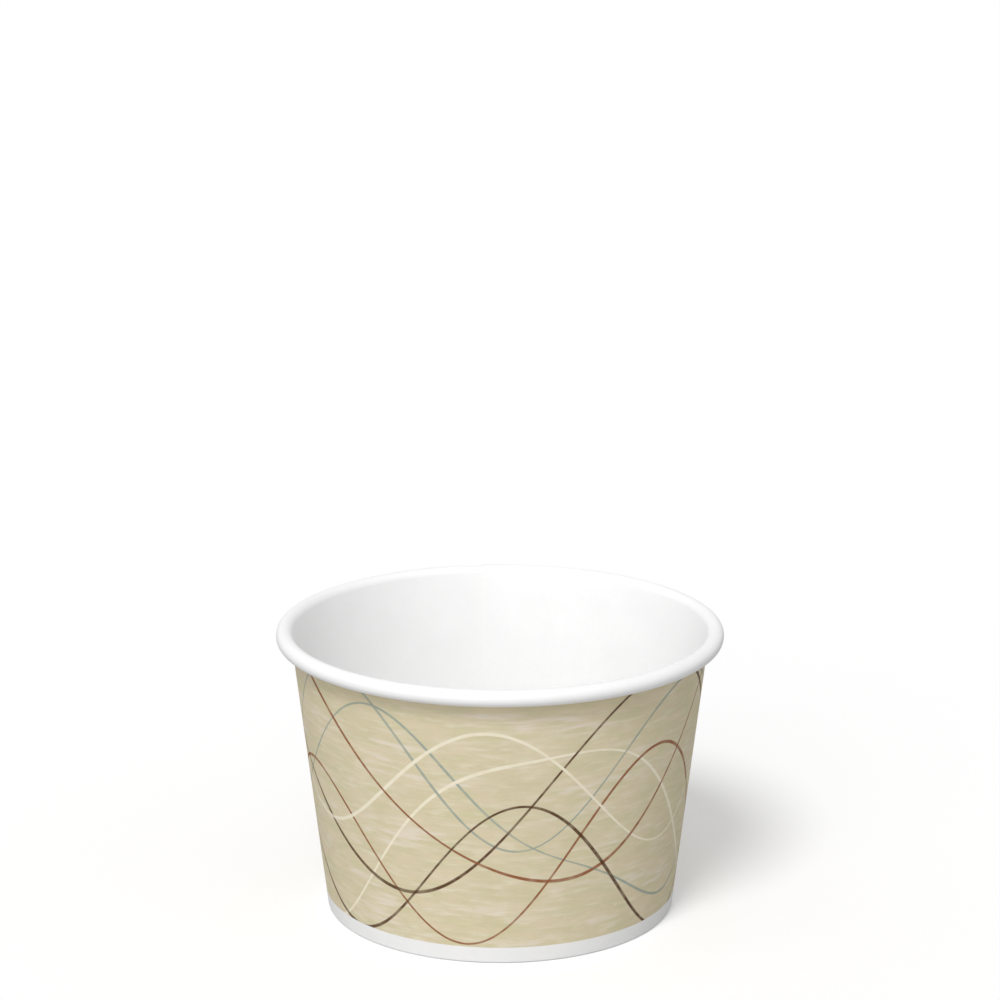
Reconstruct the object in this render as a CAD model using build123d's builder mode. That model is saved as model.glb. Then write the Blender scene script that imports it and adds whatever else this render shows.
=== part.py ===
from build123d import *
from math import asin, atan2, cos, degrees, hypot, radians, sin, tan
import os

# A squat tapered paper tub for food, with no lid. One blank of coated board is wrapped into the side wall and
# glued in a lapped seam. Its top edge is rolled outwards into the rim, and its bottom edge is folded in and up
# round the skirt of a drawn bottom disc. Origin at the centre of the foot, +Z up, seam on the +Y side.

# Driving sizes in millimetres and degrees
rim_diameter = 92.0  # across the outside of the rolled rim
height = 60.0  # foot to top of the rim
base_diameter = 72.0  # across the printed face of the wall at the table
board = 0.4  # board of the side wall
roll_diameter = 3.4  # thickness of the rolled rim
roll_flats = 10  # the roll is pressed in flats, and the last one is cut off at its middle
roll_flat_turn = 30.0  # each flat is turned this much from the one before
hem_height = 5.0  # the hem's free edge, above the table
foot_corner = 0.3  # flat pressed on the outer corner of the fold
lap_width = 7.0  # double part of the glued seam
ramp_width = 6.0  # where the outer layer climbs over the cut edge of the inner one
seam_side = 90.0  # direction of the seam, from +X towards +Y
disc_board = 0.35  # board of the bottom disc
disc_height = 6.0  # food side of the bottom disc, above the table
disc_corner = 0.6  # flat pressed on the corner where the disc turns down into its skirt
skirt_clearance = 0.2  # between the skirt's cut edge and the fold under it

# The wall's lean: its food side touches the roll, and its printed side starts at the base
base_radius = base_diameter / 2
roll_radius = roll_diameter / 2
roll_x = rim_diameter / 2 - roll_radius
roll_z = height - roll_radius
roll_reach = hypot(roll_x - base_radius, roll_z)
lean = degrees(atan2(roll_x - base_radius, roll_z) - asin((roll_radius - board) / roll_reach))

# The seam's stretch of the circle
seam_radius = (roll_x + base_radius) / 2
lap_turn = degrees(lap_width / seam_radius)
ramp_turn = degrees(ramp_width / seam_radius)
lap_start = seam_side - lap_turn / 2
lap_end = lap_start + lap_turn


def wall_point(depth, z):
    """Point of the wall at a height, this deep in the board, counted outwards from its food side."""
    return base_radius + (depth - board) / cos(radians(lean)) + z * tan(radians(lean)), z


def roll_point(depth, turn, half_corner=0.0):
    """Point of the roll after a turn from level, on a flat's middle or a corner between two flats."""
    reach = (roll_radius - depth) / cos(radians(half_corner))
    return roll_x - reach * cos(radians(turn)), roll_z + reach * sin(radians(turn))


def board_line(depth, foot):
    """Line of the folded board this deep in it: down the hem, under the skirt, up the wall and round the roll."""
    hem_depth = -disc_board - depth
    flats = [lean] + [roll_flat_turn * (step + 1) for step in range(roll_flats)]
    corners = [((before + after) / 2, (after - before) / 2) for before, after in zip(flats, flats[1:])]
    return [
        wall_point(hem_depth, hem_height),
        wall_point(hem_depth, foot),
        wall_point(depth, foot),
        *[roll_point(depth, turn, half_corner) for turn, half_corner in corners],
        roll_point(depth, flats[-1]),
    ]


def board_section(direction, near, far):
    """Section of the folded board between two depths, on the upright plane that faces this way round the axis."""
    with BuildSketch(Plane.XZ.rotated((0, 0, direction))) as section:
        with BuildLine():
            Polyline(*board_line(near, board), *reversed(board_line(far, 0)), close=True)
        make_face()
        chamfer(section.vertices().group_by(Axis.Y)[0].sort_by(Axis.X)[-1], length=foot_corner)
    return section.sketch


# The side wall: both layers in the lap, the outer layer's ramp, and one layer round the rest of the tub
both_layers = board_section(lap_start, 0, 2 * board)
ramp_top = board_section(lap_end, board, 2 * board)
one_layer = board_section(lap_end + ramp_turn, 0, board)

with BuildPart() as side_wall:
    revolve(both_layers, axis=Axis.Z, revolution_arc=lap_turn)
    loft([ramp_top, one_layer], ruled=True)
    revolve(one_layer, axis=Axis.Z, revolution_arc=360 - lap_turn - ramp_turn)
side_wall.part.label = "side_wall"

# The bottom disc, with its skirt turned down between the wall and the hem
with BuildPart() as bottom_disc:
    with BuildSketch(Plane.XZ) as disc_section:
        with BuildLine():
            Polyline(
                (0, disc_height),
                (wall_point(0, disc_height)[0] - disc_corner, disc_height),
                wall_point(0, disc_height - disc_corner),
                wall_point(0, board + skirt_clearance),
                wall_point(-disc_board, board + skirt_clearance),
                wall_point(-disc_board, disc_height - disc_corner),
                (wall_point(0, disc_height)[0] - disc_corner, disc_height - disc_board),
                (0, disc_height - disc_board),
                close=True,
            )
        make_face()
    revolve(axis=Axis.Z)
bottom_disc.part.label = "bottom_disc"

os.makedirs("parts", exist_ok=True)
for piece in (side_wall, bottom_disc):
    export_step(piece.part, f"parts/{piece.part.label}.step")
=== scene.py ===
import math
from collections import namedtuple

import bpy
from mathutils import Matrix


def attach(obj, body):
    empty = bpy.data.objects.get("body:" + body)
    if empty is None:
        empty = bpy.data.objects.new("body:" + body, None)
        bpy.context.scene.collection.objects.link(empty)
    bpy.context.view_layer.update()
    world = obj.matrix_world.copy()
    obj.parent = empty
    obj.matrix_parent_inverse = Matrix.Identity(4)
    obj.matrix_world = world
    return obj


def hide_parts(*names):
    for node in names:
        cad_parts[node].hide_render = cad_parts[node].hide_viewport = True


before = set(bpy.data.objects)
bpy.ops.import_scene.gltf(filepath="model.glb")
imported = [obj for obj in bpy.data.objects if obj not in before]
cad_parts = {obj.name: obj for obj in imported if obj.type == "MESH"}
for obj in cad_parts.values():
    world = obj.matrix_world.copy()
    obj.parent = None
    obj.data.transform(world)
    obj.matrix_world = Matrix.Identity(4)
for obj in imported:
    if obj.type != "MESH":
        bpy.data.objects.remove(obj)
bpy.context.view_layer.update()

MM = 0.001

# Sizes in millimetres and degrees, as in the part's source
RIM_DIAMETER = 92.0
HEIGHT = 60.0
BASE_DIAMETER = 72.0
BOARD = 0.4
ROLL_RADIUS = 1.7
HEM_HEIGHT = 5.0
LAP_WIDTH = 7.0
RAMP_WIDTH = 6.0
SEAM_SIDE = 90.0
DISC_BOARD = 0.35
DISC_HEIGHT = 6.0
SKIRT_FOOT = 0.6

ROLL_X = RIM_DIAMETER / 2 - ROLL_RADIUS
ROLL_Z = HEIGHT - ROLL_RADIUS
BASE_RADIUS = BASE_DIAMETER / 2
LEAN = math.atan2(ROLL_X - BASE_RADIUS, ROLL_Z) - math.asin(
    (ROLL_RADIUS - BOARD) / math.hypot(ROLL_X - BASE_RADIUS, ROLL_Z)
)
SEAM_RADIUS = (ROLL_X + BASE_RADIUS) / 2
LAP_TURN = LAP_WIDTH / SEAM_RADIUS
RAMP_TURN = RAMP_WIDTH / SEAM_RADIUS
LAP_END = math.radians(SEAM_SIDE) + LAP_TURN / 2

# Sizes that the solids leave to this script
ROLL_END = 316.0  # turn at which the open roll ends
CUT_CORNER = 0.06  # rounding of the wall's cut edges
GLUE_LINE = 0.02  # between the two layers of the seam
ROLL_PRESS = 0.6  # the second layer adds this much of its thickness in the roll
PRESS_START = 0.7  # the pressing begins this far up the wall
LIFT_END = (0.4, 1.15)  # the lifted first layer comes down between these shares of the lap
UNEVENNESS = 0.12  # of the radius, by a noise on a circle of radius 1
UNEVEN_SCALE = 1.6
UNEVEN_RISE = 12.0  # the noise moves on by this for each metre up
PRINT_FOOT = 3.56  # the print ends here, above the table
PRINT_WANDER = 0.12
RIB_COUNT = 144
RIB_SIZE = (0.24, 0.8, 3.4)
RIB_HEIGHT = 2.75

# The fold at the foot: its rounding on the wall's and on the hem's side, and how far the seam's first layer
# is lifted and its second layer moved up there
PRINTED_FOLD = {"wall_corner": 0.5, "hem_corner": 0.45, "lift": BOARD - 0.1, "press": 0.0}
FOOD_FOLD = {"wall_corner": 0.12, "hem_corner": 0.12, "lift": 0.2, "press": -0.1}

# The disc: rings on its flat, its room beside wall and hem, and the rounding of its corners
DISC_RINGS = [0.0, 0.25, 4.0, 8.0, 12.0, 16.0, 20.0, 24.0, 27.0, 29.0, 30.5, 31.5]
DISC_ROOM = 0.01
DISC_CORNER = 1.0
SKIRT_CORNER = 0.05
UNDER_CORNER = 0.65

# Steps in the meshes
WALL_STEPS = 12
ROLL_STEPS = 52
TURN_STEPS = 370
DISC_STEPS = 288
CREASE = 40  # degrees, past which a corner stays sharp

# Faces by side: 1 on the printed side, 0 on the food side, and between them on the cut edges
PRINTED_FROM = 0.8
FOOD_BELOW = 0.2

# The bake's map, in shares of its side
PRINT_ROW = 0.376  # height of each of the printed face's two rows
EDGE_ROW = 0.008
FOOD_ROW = 0.186
ROW_GAP = 0.004
HIDDEN_WEIGHT = 0.3  # a hidden stretch gets this share of the pixels that one in view gets
END_SPAN = 0.077  # metres of the blank's rise that fill the map's width, on the strips for the board's ends
END_START = 0.09
END_LEVEL = 0.973
END_HEIGHT = 0.006
END_STEP = 0.009  # from the strip of the first end to that of the last
RIB_PATCH = (0.04, -0.007, 0.0)
RIB_PATCH_CORNER = (0.003, 0.998, 0.0)
DISC_SHEET = 0.288  # radius of each of the disc's two round sheets

CAMERA_LENS = 118.36
CAMERA_PLACE = (0.0, -0.6475, 0.2561)
CAMERA_TILT = 14.70  # below level
FLOOR_REACH = 12.0


# ---------------------------------------------------------------- node helpers


def tone(red, green, blue):
    """Linear colour of an 8-bit screen colour."""
    shares = [value / 255 for value in (red, green, blue)]
    return [s / 12.92 if s <= 0.04045 else ((s + 0.055) / 1.055) ** 2.4 for s in shares] + [1.0]


def add(tree, kind, inputs=None, **settings):
    """A new node with its settings, its inputs linked or set."""
    node = tree.nodes.new(kind)
    for name, value in settings.items():
        setattr(node, name, value)
    for key, value in (inputs or {}).items():
        if isinstance(value, bpy.types.NodeSocket):
            tree.links.new(value, node.inputs[key])
        else:
            node.inputs[key].default_value = value
    return node


def calc(tree, operation, *values):
    """The result of one sum."""
    return add(tree, "ShaderNodeMath", dict(enumerate(values)), operation=operation).outputs[0]


def scaled(tree, vector, factor):
    """A vector or colour times a number."""
    return add(tree, "ShaderNodeVectorMath", {0: vector, "Scale": factor}, operation="SCALE").outputs[0]


def combined(tree, x, y, z=0.0):
    """A vector of three numbers."""
    return add(tree, "ShaderNodeCombineXYZ", {0: x, 1: y, 2: z}).outputs[0]


def smooth_range(tree, value, low, high, to_low=0.0, to_high=1.0):
    """The value moved smoothly from one range to another, and held at its ends."""
    inputs = {"Value": value, "From Min": low, "From Max": high, "To Min": to_low, "To Max": to_high}
    return add(tree, "ShaderNodeMapRange", inputs, interpolation_type="SMOOTHSTEP").outputs["Result"]


def cloudy(tree, cloud, low=0.0, high=1.0):
    """A paper's cloudy tone, moved to this range."""
    return smooth_range(tree, cloud, 0.3, 0.7, low, high)


def mix_colour(tree, share, first, second):
    """Two colours mixed."""
    return add(tree, "ShaderNodeMix", {0: share, 6: first, 7: second}, data_type="RGBA").outputs[2]


def new_group(name, kind, inputs, outputs):
    """An empty node group with named sockets. Returns its tree, its input node and its output node."""
    tree = bpy.data.node_groups.new(name, kind)
    for socket_name, socket_kind, value in inputs:
        socket = tree.interface.new_socket(socket_name, in_out="INPUT", socket_type=socket_kind)
        if value is not None:
            socket.default_value = value
    for socket_name, socket_kind in outputs:
        tree.interface.new_socket(socket_name, in_out="OUTPUT", socket_type=socket_kind)
    return tree, tree.nodes.new("NodeGroupInput"), tree.nodes.new("NodeGroupOutput")


def grains(tree, vector, across, up, detail, roughness, offset):
    """Noise whose grains are this long and this high, in the units of the vector."""
    mapping = add(
        tree, "ShaderNodeMapping",
        {"Vector": vector, "Scale": (1 / across, 1 / up, 1.0), "Location": (offset, offset * 0.7, offset)},
    )
    inputs = {"Vector": mapping.outputs[0], "Scale": 1.0, "Detail": detail, "Roughness": roughness}
    return add(tree, "ShaderNodeTexNoise", inputs).outputs["Fac"]


def pattern(tree, vector, across, up, detail, roughness, offset, *limits):
    """Grains with their own limits: the noise's range, and what it becomes."""
    return smooth_range(tree, grains(tree, vector, across, up, detail, roughness, offset), *limits)


# ---------------------------------------------------------------- shared effects


def paper_fibre_group():
    """Cloudy tone and fine height of pressed paper, with the sizes of grain and clouds in millimetres."""
    tree, start, end = new_group(
        "paper_fibre", "ShaderNodeTree",
        [
            ("Vector", "NodeSocketVector", None),
            ("Grain", "NodeSocketFloat", 0.6),
            ("Cloud", "NodeSocketFloat", 6.0),
        ],
        [("Tone", "NodeSocketFloat"), ("Height", "NodeSocketFloat")],
    )
    millimetres = scaled(tree, start.outputs["Vector"], 1 / MM)
    grain, cloud = [
        add(
            tree, "ShaderNodeTexNoise",
            {
                "Vector": millimetres,
                "Scale": calc(tree, "DIVIDE", 1.0, start.outputs[size]),
                "Detail": detail,
            },
        ).outputs["Fac"]
        for size, detail in (("Grain", 3.0), ("Cloud", 2.0))
    ]
    flecks = calc(tree, "MULTIPLY_ADD", grain, 0.45, calc(tree, "MULTIPLY", cloud, 0.55))
    tree.links.new(flecks, end.inputs["Tone"])
    tree.links.new(grain, end.inputs["Height"])
    return tree


# What a printed line is given, and what it has where nothing is given
LINE_INPUTS = {
    "Line Width": 0.6,
    "Level": 30.0,
    "Swing": 15.0,
    "Waves": 3.0,
    "Phase": 0.0,
    "Ripple Swing": 3.0,
    "Ripple Waves": 5.0,
    "Ripple Phase": 0.0,
    "Swell": 0.26,
    "Softness": 0.1,
}


def wave_line_group():
    """Mask of one thin printed line that swings round the tub, and swells and thins with its ripple."""
    values = {"Turn": 0.0, "Height": 0.0, **LINE_INPUTS}
    tree, start, end = new_group(
        "wave_line", "ShaderNodeTree",
        [(name, "NodeSocketFloat", value) for name, value in values.items()],
        [("Mask", "NodeSocketFloat")],
    )
    given = start.outputs
    level, slopes = given["Level"], []
    for name in ("", "Ripple "):
        swing, waves = given[name + "Swing"], given[name + "Waves"]
        angle = calc(tree, "MULTIPLY_ADD", given["Turn"], waves, given[name + "Phase"])
        level = calc(tree, "MULTIPLY_ADD", swing, calc(tree, "SINE", angle), level)
        steepest = calc(tree, "MULTIPLY", swing, waves)
        slopes.append(calc(tree, "MULTIPLY", steepest, calc(tree, "COSINE", angle)))
    slope = calc(tree, "DIVIDE", calc(tree, "ADD", *slopes), SEAM_RADIUS)
    stretch = calc(tree, "SQRT", calc(tree, "MULTIPLY_ADD", slope, slope, 1.0))
    away = calc(tree, "ABSOLUTE", calc(tree, "SUBTRACT", given["Height"], level))
    distance = calc(tree, "DIVIDE", away, stretch)
    swell = calc(tree, "MULTIPLY_ADD", calc(tree, "COSINE", angle), given["Swell"], 1.0)
    half = calc(tree, "MULTIPLY", calc(tree, "MULTIPLY", given["Line Width"], 0.5), swell)
    edge = calc(tree, "DIVIDE", calc(tree, "SUBTRACT", distance, half), given["Softness"])
    tree.links.new(smooth_range(tree, edge, -1.0, 1.0, 1.0, 0.0), end.inputs["Mask"])
    return tree


PAPER_FIBRE = paper_fibre_group()
WAVE_LINE = wave_line_group()


# ---------------------------------------------------------------- materials


FOOD_WHITES = (tone(246, 246, 246), tone(249, 249, 249))
DISC_WHITES = (tone(241, 240, 237), tone(246, 245, 243))
EDGE_WHITES = (tone(232, 229, 221), tone(246, 244, 239))
BAND_WHITES = (tone(245, 245, 245), tone(249, 249, 249))
GROUND_GREEN = tone(215, 206, 170)
GROUND_WARM = tone(223, 209, 178)
DASH_PALE = tone(232, 223, 198)
BRUSH_PALE = tone(234, 223, 206)
DARK_BROWN = tone(86, 55, 27)
RUSSET = tone(147, 89, 53)
BLUE_GREY = tone(162, 171, 158)
CREAM = tone(246, 237, 214)

# Patterns on the flat blank: a grain's length and height in millimetres, detail, roughness, offset, the
# noise's range and what it becomes
BLOTCH = (9.0, 3.5, 4.0, 0.62, 3.0, 0.38, 0.62)
STREAK = (9.0, 0.9, 4.0, 0.6, 5.0, 0.3, 0.7, -0.022, 0.022)
FINE_STREAK = (2.4, 0.35, 3.0, 0.6, 7.0, 0.3, 0.7, 0.988, 1.012)
DASH = (6.0, 1.2, 3.0, 0.5, 13.0, 0.5, 0.74, 0.0, 0.7)
BRUSH_PATCH = (24.0, 6.0, 3.0, 0.6, 17.0, 0.47, 0.62)
BRISTLE = (8.5, 1.15, 4.0, 0.6, 23.0, 0.42, 0.64)
BRUSH_STRENGTH = 0.8
LINE_WEAR = (0.3, 0.6, 0.7, 0.97)
PRINT_SOFTNESS = 0.05

# Lines in the order of printing: ink, then line width, level, swing, waves and phase, and the ripple's
# swing, waves and phase
PRINTED_LINES = [
    (BLUE_GREY, 0.46, 30.0, 20.0, 2.0, 0.05, 4.0, 5.0, 1.0),
    (CREAM, 0.6, 26.0, 22.0, 2.0, 1.95, 3.0, 5.0, 2.2),
    (BLUE_GREY, 0.46, 42.0, 15.0, 3.0, 1.75, 3.0, 4.0, 4.0),
    (RUSSET, 0.57, 22.0, 18.0, 3.0, 0.9, 4.0, 2.0, 2.6),
    (DARK_BROWN, 0.62, 36.0, 20.0, 2.0, 3.25, 4.0, 3.0, 0.7),
    (CREAM, 0.57, 38.0, 16.0, 3.0, 4.35, 4.0, 2.0, 5.0),
    (RUSSET, 0.6, 38.0, 22.0, 2.0, 4.9, 3.0, 4.0, 1.3),
    (DARK_BROWN, 0.57, 18.0, 14.0, 3.0, 4.7, 3.0, 4.0, 2.0),
]


def new_material(name, **settings):
    """A material with its shader. Plain values go straight to the shader's own sockets."""
    material = bpy.data.materials.new(name)
    material.use_nodes = True
    tree = material.node_tree
    shader = tree.nodes["Principled BSDF"]
    for key, value in settings.items():
        shader.inputs[key.replace("_", " ")].default_value = value
    return material, tree, shader


def paper_surface(tree, shader, grain, cloud, strength, depth):
    """Fine paper relief on a material, with the grain's and the cloud's size. Returns the cloudy tone."""
    place = add(tree, "ShaderNodeTexCoord").outputs["Object"]
    inputs = {"Vector": place, "Grain": grain, "Cloud": cloud}
    fibre = add(tree, "ShaderNodeGroup", inputs, node_tree=PAPER_FIBRE).outputs
    bump = add(tree, "ShaderNodeBump", {"Strength": strength, "Distance": depth, "Height": fibre["Height"]})
    tree.links.new(bump.outputs["Normal"], shader.inputs["Normal"])
    return fibre["Tone"]


def white_board_material(name, whites, roughness, coat):
    """Bleached board with its thin coating."""
    material, tree, shader = new_material(name, Coat_Weight=coat, Coat_Roughness=0.32, Coat_IOR=1.45)
    cloud = paper_surface(tree, shader, grain=0.55, cloud=7.0, strength=0.35, depth=0.00006)
    tree.links.new(mix_colour(tree, cloudy(tree, cloud), *whites), shader.inputs["Base Color"])
    tree.links.new(cloudy(tree, cloud, roughness - 0.05, roughness + 0.05), shader.inputs["Roughness"])
    return material


def cut_edge_material():
    """Raw edge of the board, with fine fibre grain."""
    material, tree, shader = new_material("cut_edge", Roughness=0.85)
    fibre = paper_surface(tree, shader, grain=0.12, cloud=0.9, strength=0.8, depth=0.0001)
    tree.links.new(mix_colour(tree, cloudy(tree, fibre), *EDGE_WHITES), shader.inputs["Base Color"])
    return material


def brushed_ground(tree, flat, cloud):
    """Warm and greenish tans in blotches, faint level streaks, short pale dashes and dry brush marks."""
    colour = mix_colour(tree, pattern(tree, flat, *BLOTCH), GROUND_GREEN, GROUND_WARM)
    streaks = calc(tree, "ADD", pattern(tree, flat, *STREAK), pattern(tree, flat, *FINE_STREAK))
    colour = scaled(tree, colour, calc(tree, "MULTIPLY", streaks, cloudy(tree, cloud, 0.985, 1.015)))
    colour = mix_colour(tree, pattern(tree, flat, *DASH), colour, DASH_PALE)
    brush = calc(tree, "MULTIPLY", pattern(tree, flat, *BRUSH_PATCH), pattern(tree, flat, *BRISTLE))
    return mix_colour(tree, calc(tree, "MULTIPLY", brush, BRUSH_STRENGTH), colour, BRUSH_PALE)


def printed_material():
    """Tan brushed print with thin swinging lines, and an unprinted band at the foot."""
    material, tree, shader = new_material("printed_wall", Roughness=0.58, Specular_IOR_Level=0.3)
    cloud = paper_surface(tree, shader, grain=0.6, cloud=7.0, strength=0.3, depth=0.00005)
    flat = scaled(tree, add(tree, "ShaderNodeUVMap", uv_map="blank_map").outputs[0], 1 / MM)
    along, rise = add(tree, "ShaderNodeSeparateXYZ", {0: flat}).outputs[:2]
    turn = calc(tree, "DIVIDE", along, SEAM_RADIUS)
    colour = brushed_ground(tree, flat, cloud)

    # Each line is a little worn
    for number, (ink, *values) in enumerate(PRINTED_LINES):
        inputs = {"Turn": turn, "Height": rise, **LINE_INPUTS, **dict(zip(LINE_INPUTS, values))}
        line = add(tree, "ShaderNodeGroup", inputs, node_tree=WAVE_LINE).outputs["Mask"]
        worn = pattern(tree, flat, 4.0, 3.0, 3.0, 0.6, 31.0 + number, *LINE_WEAR)
        colour = mix_colour(tree, calc(tree, "MULTIPLY", line, worn), colour, ink)

    # The unprinted band, whose edge wanders a little
    wander = calc(
        tree, "MULTIPLY_ADD", grains(tree, flat, 30.0, 30.0, 2.0, 0.55, 0.0), PRINT_WANDER,
        PRINT_FOOT - PRINT_WANDER / 2,
    )
    printed = smooth_range(tree, calc(tree, "SUBTRACT", rise, wander), -PRINT_SOFTNESS, PRINT_SOFTNESS)
    white = mix_colour(tree, cloudy(tree, cloud), *BAND_WHITES)
    tree.links.new(mix_colour(tree, printed, white, colour), shader.inputs["Base Color"])
    return material


# ---------------------------------------------------------------- the side wall


# A point of the folded board's section: where it is, where the seam's second layer goes from it, how far the
# first layer is lifted and the second moved up at the foot, its rise on the flat blank, and its side
Station = namedtuple("Station", "x z shift_out shift_up lift press rise face")


def wall_point(depth, z):
    """Point of the wall at a height, this deep in the board, counted outwards from its food side."""
    return BASE_RADIUS + (depth - BOARD) / math.cos(LEAN) + z * math.tan(LEAN), z


def roll_point(depth, turn):
    """Point of the roll after a turn from level."""
    reach = ROLL_RADIUS - depth
    return ROLL_X - reach * math.cos(turn), ROLL_Z + reach * math.sin(turn)


def lengths_along(points):
    """How far along a line each of its points lies."""
    lengths = [0.0]
    for before, after in zip(points, points[1:]):
        lengths.append(lengths[-1] + math.dist(before, after))
    return lengths


def rounded(before, corner, after, radius, steps):
    """Points of a rounded corner."""
    arms = []
    for point in (before, after):
        size = math.dist(point, corner)
        arms.append(((point[0] - corner[0]) / size, (point[1] - corner[1]) / size))
    half = math.acos(arms[0][0] * arms[1][0] + arms[0][1] * arms[1][1]) / 2
    middle = (arms[0][0] + arms[1][0], arms[0][1] + arms[1][1])
    reach = radius / math.sin(half) / math.hypot(*middle)
    centre = (corner[0] + middle[0] * reach, corner[1] + middle[1] * reach)
    back = radius / math.tan(half)
    first, last = [
        math.atan2(corner[1] + arm[1] * back - centre[1], corner[0] + arm[0] * back - centre[0])
        for arm in arms
    ]
    sweep = (last - first + math.pi) % (2 * math.pi) - math.pi
    angles = [first + sweep * step / steps for step in range(steps + 1)]
    return [(centre[0] + radius * math.cos(a), centre[1] + radius * math.sin(a)) for a in angles]


def face_line(depth, foot, face, wall_corner, hem_corner, lift, press):
    """One face of the folded board as stations, from the hem's cut edge to the end of the roll."""
    hem_depth = -DISC_BOARD - depth
    hem_top, hem_foot = wall_point(hem_depth, HEM_HEIGHT), wall_point(hem_depth, foot)
    wall_foot, wall_high = wall_point(depth, foot), wall_point(depth, HEM_HEIGHT)
    outward = 1 / math.cos(LEAN)
    line = [(hem_top, -outward, 0.0, 0.0, 0.0)]
    for point in rounded(hem_top, hem_foot, wall_foot, hem_corner, 5):
        line.append((point, -outward, 0.0, lift, press))
    for point in rounded(hem_foot, wall_foot, wall_high, wall_corner, 6):
        line.append((point, outward, 0.0, lift, press))
    wall_start = len(line) - 1
    wall_length = roll_point(depth, LEAN)[1] - wall_corner - foot
    for step in range(1, WALL_STEPS):
        share = step / WALL_STEPS
        pressed = max(0.0, share - PRESS_START) / (1 - PRESS_START)
        point = wall_point(depth, wall_corner + foot + wall_length * share)
        line.append((point, outward * (1 - (1 - ROLL_PRESS) * pressed), 0.0, 0.0, 0.0))
    for step in range(ROLL_STEPS + 1):
        turn = LEAN + (math.radians(ROLL_END) - LEAN) * step / ROLL_STEPS
        out, up = ROLL_PRESS * math.cos(turn), -ROLL_PRESS * math.sin(turn)
        line.append((roll_point(depth, turn), out, up, 0.0, 0.0))
    lengths = lengths_along([point for point, *_ in line])
    fold = lengths[wall_start] - line[wall_start][0][1] / math.cos(LEAN)
    return [Station(*point, *rest, length - fold, face) for (point, *rest), length in zip(line, lengths)]


def board_outline():
    """Closed outline of the folded board: printed face, rolled cut edge, food face, hem's cut edge."""
    printed = face_line(BOARD, 0.0, 1.0, **PRINTED_FOLD)
    food = face_line(0.0, BOARD, 0.0, **FOOD_FOLD)
    outline = printed + food[::-1]
    firsts, lasts = (0, len(printed)), (len(printed) - 1, len(outline) - 1)
    result = []
    for index, station in enumerate(outline):
        if index not in firsts + lasts:
            result.append(station)
            continue
        # A small rounded corner where a face meets a cut edge. Only its point on the face keeps that side
        before, after = outline[index - 1], outline[(index + 1) % len(outline)]
        corner = rounded(before[:2], station[:2], after[:2], CUT_CORNER, 3)
        sides = [station.face, 0.5, 0.5, 0.5]
        for (x, z), face in zip(corner, sides if index in lasts else sides[::-1]):
            result.append(station._replace(x=x, z=z, face=face))
    return result


def bake_rows(outline):
    """How far up the bake's map each point of the outline lies. What is hidden gets fewer pixels."""
    sections, sizes = [], []
    for station, after in zip(outline, outline[1:] + outline[:1]):
        face, rise = (station.face + after.face) / 2, (station.rise + after.rise) / 2
        edge = "hem edge" if rise < 0 else "roll edge"
        sections.append("print" if face > PRINTED_FROM else "food" if face < FOOD_BELOW else edge)
        hidden = rise < 0 or (face > PRINTED_FROM and rise > ROLL_Z)
        sizes.append(math.dist(station[:2], after[:2]) * (HIDDEN_WEIGHT if hidden else 1.0))
    rows = {"print": PRINT_ROW, "roll edge": EDGE_ROW, "food": FOOD_ROW, "hem edge": EDGE_ROW}
    totals = {row: sum(size for size, section in zip(sizes, sections) if section == row) for row in rows}
    ups = [ROW_GAP / 2]
    for size, section in zip(sizes[:-1], sections):
        ups.append(ups[-1] + rows[section] * size / totals[section])
    return ups


def outline_mesh():
    """The outline as a ring of edges, with what each point needs to be wrapped."""
    outline = board_outline()
    count = len(outline)
    mesh = bpy.data.meshes.new("board_outline")
    vertices = [(point.x * MM, point.z * MM, 0.0) for point in outline]
    mesh.from_pydata(vertices, [(step, (step + 1) % count) for step in range(count)], [])
    columns = {
        "reach": [point.x * MM for point in outline],
        "height": [point.z * MM for point in outline],
        "shift_out": [point.shift_out for point in outline],
        "shift_up": [point.shift_up for point in outline],
        "lift": [point.lift * MM for point in outline],
        "press": [point.press * MM for point in outline],
        "rise": [point.rise * MM for point in outline],
        "face": [point.face for point in outline],
        "bake_up": bake_rows(outline),
    }
    for name, values in columns.items():
        mesh.attributes.new(name, "FLOAT", "POINT").data.foreach_set("value", values)
    return mesh


def read(tree, name):
    """A named attribute."""
    node = add(tree, "GeometryNodeInputNamedAttribute", {"Name": name}, data_type="FLOAT")
    return node.outputs["Attribute"]


def store(tree, geometry, name, value, kind="FLOAT2", domain="CORNER"):
    """The geometry with a value kept on it, such as a map."""
    node = add(
        tree, "GeometryNodeStoreNamedAttribute", {"Geometry": geometry, "Name": name, "Value": value},
        data_type=kind, domain=domain,
    )
    return node.outputs["Geometry"]


def on_faces(tree, value):
    """A value's mean over each face."""
    node = add(tree, "GeometryNodeFieldOnDomain", {"Value": value}, domain="FACE", data_type="FLOAT")
    return node.outputs[0]


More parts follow.
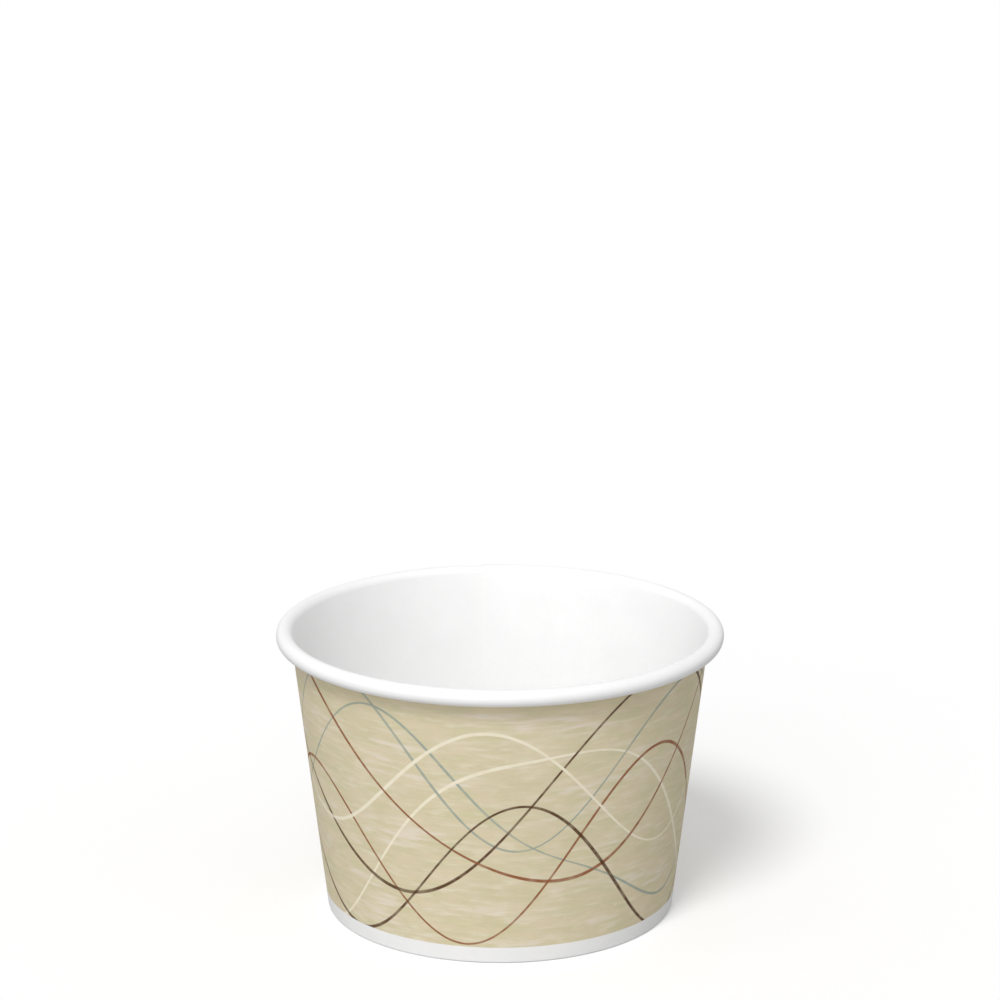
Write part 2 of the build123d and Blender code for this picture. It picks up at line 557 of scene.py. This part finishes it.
def bake_place(tree, turn, full_turn):
    """Place on the bake's map, which lays the blank out flat.

    The printed face takes two rows, one for each half of the turn. The cut edges and the food face share the
    next row, and each end of the board has a strip."""
    share = calc(tree, "DIVIDE", turn, full_turn)
    late = calc(tree, "GREATER_THAN", on_faces(tree, share), 0.5)
    printed = calc(tree, "GREATER_THAN", on_faces(tree, read(tree, "face")), PRINTED_FROM)
    plain = calc(tree, "SUBTRACT", 1.0, printed)
    across = calc(tree, "MULTIPLY", share, calc(tree, "ADD", printed, 1.0))
    across = calc(tree, "SUBTRACT", across, calc(tree, "MULTIPLY", late, printed))
    up = read(tree, "bake_up")
    closing = calc(tree, "MULTIPLY", plain, calc(tree, "LESS_THAN", up, PRINT_ROW / 2))
    up = calc(tree, "MULTIPLY_ADD", closing, PRINT_ROW + FOOD_ROW + 2 * EDGE_ROW, up)
    up = calc(tree, "MULTIPLY_ADD", calc(tree, "MAXIMUM", late, plain), PRINT_ROW + ROW_GAP, up)
    up = calc(tree, "MULTIPLY_ADD", plain, ROW_GAP, up)

    # An end of the board is one face with many corners, straightened along the blank's rise
    end_across = calc(tree, "MULTIPLY_ADD", read(tree, "rise"), 1 / END_SPAN, END_START)
    end_up = calc(tree, "MULTIPLY_ADD", read(tree, "face"), END_HEIGHT, END_LEVEL)
    end_up = calc(tree, "MULTIPLY_ADD", late, END_STEP, end_up)
    corners = add(tree, "GeometryNodeInputMeshFaceNeighbors").outputs["Vertex Count"]
    end = calc(tree, "GREATER_THAN", corners, 4.5)
    across, up = [
        add(tree, "ShaderNodeMix", {0: end, 2: side, 3: end_side}, data_type="FLOAT").outputs[0]
        for side, end_side in ((across, end_across), (up, end_up))
    ]
    # The blank is wrapped clockwise, so the map runs from right to left
    return combined(tree, calc(tree, "MULTIPLY_ADD", across, ROW_GAP - 1, 1 - ROW_GAP / 2), up)


def hem_ribs(tree, given):
    """Ribs pressed on the hem: one small bead, repeated on a ring and leaning with the wall."""
    ring = add(
        tree, "GeometryNodeMeshCircle", {"Vertices": given["Rib Count"], "Radius": given["Rib Radius"]}
    ).outputs["Mesh"]
    position = add(tree, "GeometryNodeInputPosition").outputs[0]
    spot = add(tree, "ShaderNodeSeparateXYZ", {0: position}).outputs
    heading = calc(tree, "ARCTAN2", spot["Y"], spot["X"])
    bead = add(tree, "GeometryNodeMeshUVSphere", {"Segments": 8, "Rings": 6, "Radius": 0.5}).outputs
    patch = add(
        tree, "ShaderNodeVectorMath", {0: bead["UV Map"], 1: RIB_PATCH, 2: RIB_PATCH_CORNER},
        operation="MULTIPLY_ADD",
    ).outputs[0]
    ribs = add(
        tree, "GeometryNodeInstanceOnPoints",
        {
            "Points": ring,
            "Instance": store(tree, bead["Mesh"], "OFBake", patch),
            "Rotation": combined(tree, 0.0, given["Rib Lean"], heading),
            "Scale": given["Rib Size"],
        },
    ).outputs["Instances"]
    place = combined(tree, 0.0, 0.0, given["Rib Height"])
    return add(tree, "GeometryNodeTransform", {"Geometry": ribs, "Translation": place}).outputs["Geometry"]


def wrapped_board_tree():
    """Wraps the folded board's outline round, over its own start, and presses ribs on the hem."""
    tree, start, end = new_group(
        "wrapped_board", "GeometryNodeTree",
        [
            ("Outline", "NodeSocketGeometry", None),
            ("Start", "NodeSocketFloat", 0.0),
            ("Lap Turn", "NodeSocketFloat", 0.1),
            ("Ramp Turn", "NodeSocketFloat", 0.05),
            ("Layer Step", "NodeSocketFloat", 0.0004),
            ("Mean Radius", "NodeSocketFloat", 0.04),
            ("Unevenness", "NodeSocketFloat", 0.00005),
            ("Steps", "NodeSocketInt", 370),
            ("Rib Count", "NodeSocketInt", 144),
            ("Rib Radius", "NodeSocketFloat", 0.034),
            ("Rib Height", "NodeSocketFloat", 0.003),
            ("Rib Lean", "NodeSocketFloat", 0.1),
            ("Rib Size", "NodeSocketVector", (0.001, 0.001, 0.001)),
            ("Printed Material", "NodeSocketMaterial", None),
            ("Food Material", "NodeSocketMaterial", None),
            ("Edge Material", "NodeSocketMaterial", None),
        ],
        [("Board", "NodeSocketGeometry")],
    )
    given = start.outputs

    # The outline drawn along a straight rail, whose points know how far round they go
    profile = add(tree, "GeometryNodeMeshToCurve", {"Mesh": given["Outline"]}).outputs["Curve"]
    ends = {"Start": (0.0, 0.0, 0.0), "End": (0.0, 0.0, 1.0)}
    rail = add(tree, "GeometryNodeCurvePrimitiveLine", ends).outputs["Curve"]
    count = calc(tree, "ADD", given["Steps"], 1.0)
    rail = add(tree, "GeometryNodeResampleCurve", {"Curve": rail, "Count": count}).outputs["Curve"]
    share = add(tree, "GeometryNodeSplineParameter").outputs["Factor"]
    full_turn = calc(tree, "ADD", given["Lap Turn"], 2 * math.pi)
    rail = store(tree, rail, "turn", calc(tree, "MULTIPLY", share, full_turn), "FLOAT", "POINT")
    board = add(
        tree, "GeometryNodeCurveToMesh", {"Curve": rail, "Profile Curve": profile, "Fill Caps": True}
    ).outputs["Mesh"]

    # Where each point of the blank goes: its end climbs over its start, and its start is lifted at the foot
    turn = read(tree, "turn")
    over = smooth_range(tree, turn, calc(tree, "SUBTRACT", 2 * math.pi, given["Ramp Turn"]), 2 * math.pi)
    lift_ends = [calc(tree, "MULTIPLY", given["Lap Turn"], lap_share) for lap_share in LIFT_END]
    under = smooth_range(tree, turn, *lift_ends, 1.0, 0.0)
    step = calc(tree, "MULTIPLY", over, given["Layer Step"])
    radius = calc(tree, "MULTIPLY_ADD", step, read(tree, "shift_out"), read(tree, "reach"))
    height = calc(tree, "MULTIPLY_ADD", step, read(tree, "shift_up"), read(tree, "height"))
    height = calc(tree, "MULTIPLY_ADD", under, read(tree, "lift"), height)
    height = calc(tree, "MULTIPLY_ADD", over, read(tree, "press"), height)
    angle = calc(tree, "SUBTRACT", given["Start"], turn)
    cosine, sine = calc(tree, "COSINE", angle), calc(tree, "SINE", angle)
    spot = combined(tree, cosine, sine, calc(tree, "MULTIPLY", height, UNEVEN_RISE))
    noise_inputs = {"Vector": spot, "Scale": UNEVEN_SCALE, "Detail": 1.0}
    noise = add(tree, "ShaderNodeTexNoise", noise_inputs).outputs["Fac"]
    radius = calc(tree, "MULTIPLY_ADD", calc(tree, "SUBTRACT", noise, 0.5), given["Unevenness"], radius)
    place = combined(tree, *[calc(tree, "MULTIPLY", radius, side) for side in (cosine, sine)], height)
    board = add(tree, "GeometryNodeSetPosition", {"Geometry": board, "Position": place}).outputs["Geometry"]

    # The print's map, with the blank's own sizes, and the bake's map
    flat = combined(tree, calc(tree, "MULTIPLY", turn, given["Mean Radius"]), read(tree, "rise"))
    board = store(tree, board, "blank_map", flat)
    board = store(tree, board, "OFBake", bake_place(tree, turn, full_turn))

    join = tree.nodes.new("GeometryNodeJoinGeometry")
    tree.links.new(hem_ribs(tree, given), join.inputs[0])
    tree.links.new(board, join.inputs[0])
    whole = add(tree, "GeometryNodeRealizeInstances", {"Geometry": join.outputs[0]}).outputs["Geometry"]

    # Materials by side: the ribs have no side of their own, so they count as 0, as the food side does
    face = on_faces(tree, read(tree, "face"))
    printed = calc(tree, "GREATER_THAN", face, PRINTED_FROM)
    food = calc(tree, "LESS_THAN", face, FOOD_BELOW)
    for name, faces in (("Edge Material", True), ("Printed Material", printed), ("Food Material", food)):
        inputs = {"Geometry": whole, "Selection": faces, "Material": given[name]}
        whole = add(tree, "GeometryNodeSetMaterial", inputs).outputs["Geometry"]
    tree.links.new(whole, end.inputs["Board"])
    return tree


def plain_mesh(source, tree, values):
    """What a node tree makes of an object, as a plain mesh."""
    modifier = source.modifiers.new("maker", "NODES")
    modifier.node_group = tree
    sockets = {item.name: item.identifier for item in tree.interface.items_tree if item.in_out == "INPUT"}
    for name, value in values.items():
        modifier[sockets[name]] = value
    bpy.context.view_layer.update()
    evaluated = source.evaluated_get(bpy.context.evaluated_depsgraph_get())
    mesh = bpy.data.meshes.new_from_object(evaluated)
    source.modifiers.clear()
    for slot in reversed(range(len(mesh.materials))):
        if mesh.materials[slot] is None:
            mesh.materials.pop(index=slot)
    return mesh


def finished_piece(name, mesh):
    """A mesh as a piece of the scene, smooth but for its corners, without the numbers that wrapped it."""
    for key in [item.name for item in mesh.attributes if item.data_type == "FLOAT"]:
        mesh.attributes.remove(mesh.attributes[key])
    mesh.shade_smooth()
    mesh.set_sharp_from_angle(angle=math.radians(CREASE))
    mesh.name = name
    piece = bpy.data.objects.new(name, mesh)
    bpy.context.scene.collection.objects.link(piece)
    return piece


def make_side_wall(printed, food, edge):
    """The wrapped side wall with its rolled rim, lapped seam and hem."""
    source = bpy.data.objects.new("board_blank", outline_mesh())
    bpy.context.scene.collection.objects.link(source)
    hem_face = wall_point(-DISC_BOARD - BOARD, RIB_HEIGHT)
    values = {
        "Start": LAP_END,
        "Lap Turn": LAP_TURN,
        "Ramp Turn": RAMP_TURN,
        "Layer Step": (BOARD + GLUE_LINE) * MM,
        "Mean Radius": SEAM_RADIUS * MM,
        "Unevenness": UNEVENNESS * MM,
        "Steps": TURN_STEPS,
        "Rib Count": RIB_COUNT,
        "Rib Radius": hem_face[0] * MM,
        "Rib Height": hem_face[1] * MM,
        "Rib Lean": LEAN,
        "Rib Size": tuple(size * MM for size in RIB_SIZE),
        "Printed Material": printed,
        "Food Material": food,
        "Edge Material": edge,
    }
    mesh = plain_mesh(source, wrapped_board_tree(), values)
    bpy.data.objects.remove(source)
    return finished_piece("side_wall_board", mesh)


# ---------------------------------------------------------------- the bottom disc


def disc_outline():
    """Half section of the drawn bottom disc, from its middle out, down its skirt and back to its middle."""
    underside = DISC_HEIGHT - DISC_BOARD
    top = wall_point(0, DISC_HEIGHT)
    skirt_out = wall_point(-DISC_ROOM, SKIRT_FOOT)
    skirt_in = wall_point(DISC_ROOM - DISC_BOARD, SKIRT_FOOT)
    under = wall_point(DISC_ROOM - DISC_BOARD, underside)
    line = [(radius, DISC_HEIGHT) for radius in DISC_RINGS]
    line += rounded((0.0, DISC_HEIGHT), (top[0] - DISC_ROOM, DISC_HEIGHT), skirt_out, DISC_CORNER, 8)
    line += rounded(top, skirt_out, skirt_in, SKIRT_CORNER, 2)
    line += rounded(skirt_out, skirt_in, under, SKIRT_CORNER, 2)
    line += rounded(skirt_in, under, (0.0, underside), UNDER_CORNER, 6)
    line += [(radius, underside) for radius in reversed(DISC_RINGS)]
    return line


def map_bottom_disc(mesh, outline, ring_of):
    """Lays the disc out on the bake's map as two round sheets: each side, with its half of the skirt."""
    lengths = lengths_along(outline)
    whole = lengths[-1]
    split = min(range(len(lengths)), key=lambda ring: abs(lengths[ring] - whole / 2))
    places = mesh.uv_layers.new(name="OFBake").data
    for face in mesh.polygons:
        under = min(ring_of[vertex] for vertex in face.vertices) >= split
        middle = DISC_SHEET + ROW_GAP / 2
        middle = 1 - middle if under else middle
        for corner, vertex in zip(face.loop_indices, face.vertices):
            length = lengths[ring_of[vertex]]
            share = (whole - length) / (whole - lengths[split]) if under else length / lengths[split]
            x, y, _ = mesh.vertices[vertex].co
            stretch = DISC_SHEET * share / (math.hypot(x, y) or 1.0)
            places[corner].uv = (middle + x * stretch, middle + (-y if under else y) * stretch)


def make_bottom_disc(board, edge):
    """The drawn bottom disc with its skirt, turned round the tub's axis and closed in the middle."""
    outline = disc_outline()
    vertices, faces, rings, ring_of = [], [], [], []
    for radius, z in outline:
        count = DISC_STEPS if radius else 1
        ring_of += [len(rings)] * count
        rings.append([len(vertices) + step for step in range(count)])
        for step in range(count):
            turn = 2 * math.pi * step / DISC_STEPS
            vertices.append((radius * MM * math.cos(turn), radius * MM * math.sin(turn), z * MM))
    for low, high in zip(rings, rings[1:]):
        for step in range(DISC_STEPS):
            corners = [(low, step), (high, step), (high, step + 1), (low, step + 1)]
            # At the middle two corners are one
            faces.append(list(dict.fromkeys(ring[place % len(ring)] for ring, place in corners)))
    mesh = bpy.data.meshes.new("bottom_disc_board")
    mesh.from_pydata(vertices, [], faces)
    mesh.materials.append(board)
    mesh.materials.append(edge)
    for face in mesh.polygons:
        if face.center.z < (SKIRT_FOOT + CUT_CORNER) * MM:
            face.material_index = 1
    map_bottom_disc(mesh, outline, ring_of)
    return finished_piece("bottom_disc_board", mesh)


# ---------------------------------------------------------------- camera, light and floor


def make_camera():
    """The photograph's viewing angle."""
    camera = bpy.data.objects.new("camera", bpy.data.cameras.new("camera"))
    camera.data.lens = CAMERA_LENS
    camera.data.sensor_width = 36.0
    camera.data.clip_end = 50.0
    camera.location = CAMERA_PLACE
    camera.rotation_euler = (math.radians(90 - CAMERA_TILT), 0.0, 0.0)
    bpy.context.scene.collection.objects.link(camera)
    bpy.context.scene.camera = camera


def make_light(name, azimuth, elevation, strength, spread):
    """Soft light from one side: azimuth is counted from the camera's side towards +X."""
    lamp = bpy.data.objects.new(name, bpy.data.lights.new(name, "SUN"))
    lamp.data.energy = strength
    lamp.data.angle = math.radians(spread)
    lamp.rotation_euler = (math.radians(90 - elevation), 0.0, math.radians(azimuth))
    bpy.context.scene.collection.objects.link(lamp)


def make_world(fill):
    """Even fill, white to the camera and in reflections."""
    world = bpy.data.worlds.new("studio")
    bpy.context.scene.world = world
    world.use_nodes = True
    tree = world.node_tree
    path = add(tree, "ShaderNodeLightPath").outputs
    seen = calc(tree, "MAXIMUM", path["Is Camera Ray"], path["Is Glossy Ray"])
    seen = calc(tree, "MAXIMUM", seen, path["Is Transmission Ray"])
    background = tree.nodes["Background"]
    background.inputs["Color"].default_value = (1.0, 1.0, 1.0, 1.0)
    tree.links.new(calc(tree, "MULTIPLY_ADD", seen, 1.0 - fill, fill), background.inputs["Strength"])


def make_floor(bounce, shown, glow):
    """White floor that keeps the shadow.

    It gives back less light than it shows, and can be looked through from below."""
    mesh = bpy.data.meshes.new("floor")
    corners = [(x * FLOOR_REACH, y * FLOOR_REACH, 0.0) for x, y in ((-1, -1), (1, -1), (1, 1), (-1, 1))]
    mesh.from_pydata(corners, [], [(0, 1, 2, 3)])
    floor = bpy.data.objects.new("floor", mesh)
    bpy.context.scene.collection.objects.link(floor)
    material = bpy.data.materials.new("floor")
    material.use_nodes = True
    tree = material.node_tree
    tree.nodes.remove(tree.nodes["Principled BSDF"])
    seen = add(tree, "ShaderNodeLightPath").outputs["Is Camera Ray"]
    pale, lit = [
        add(tree, "ShaderNodeBsdfDiffuse", {"Color": (value, value, value, 1.0)}).outputs[0]
        for value in (shown, bounce)
    ]
    glowing = add(tree, "ShaderNodeEmission", {"Color": (1.0, 1.0, 1.0, 1.0), "Strength": glow}).outputs[0]
    pale = add(tree, "ShaderNodeAddShader", {0: pale, 1: glowing}).outputs[0]
    front = add(tree, "ShaderNodeMixShader", {0: seen, 1: lit, 2: pale}).outputs[0]
    back = calc(tree, "MULTIPLY", add(tree, "ShaderNodeNewGeometry").outputs["Backfacing"], seen)
    clear = add(tree, "ShaderNodeBsdfTransparent").outputs[0]
    whole = add(tree, "ShaderNodeMixShader", {0: back, 1: front, 2: clear}).outputs[0]
    tree.links.new(whole, tree.nodes["Material Output"].inputs["Surface"])
    mesh.materials.append(material)


# ---------------------------------------------------------------- the scene

bpy.context.scene.view_settings.view_transform = "Standard"
make_camera()
make_light("key_light", azimuth=-20.0, elevation=51.0, strength=1.57, spread=19.0)
make_light("front_light", azimuth=-17.0, elevation=13.0, strength=0.77, spread=60.0)
make_world(fill=0.5)
make_floor(bounce=0.5, shown=0.88, glow=0.17)

food_face = white_board_material("coated_board", FOOD_WHITES, roughness=0.42, coat=0.15)
disc_face = white_board_material("disc_paper", DISC_WHITES, roughness=0.45, coat=0.12)
cut_edge = cut_edge_material()

side_wall = make_side_wall(printed_material(), food_face, cut_edge)
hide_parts("side_wall")
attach(side_wall, "root")

bottom_disc = make_bottom_disc(disc_face, cut_edge)
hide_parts("bottom_disc")
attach(bottom_disc, "root")
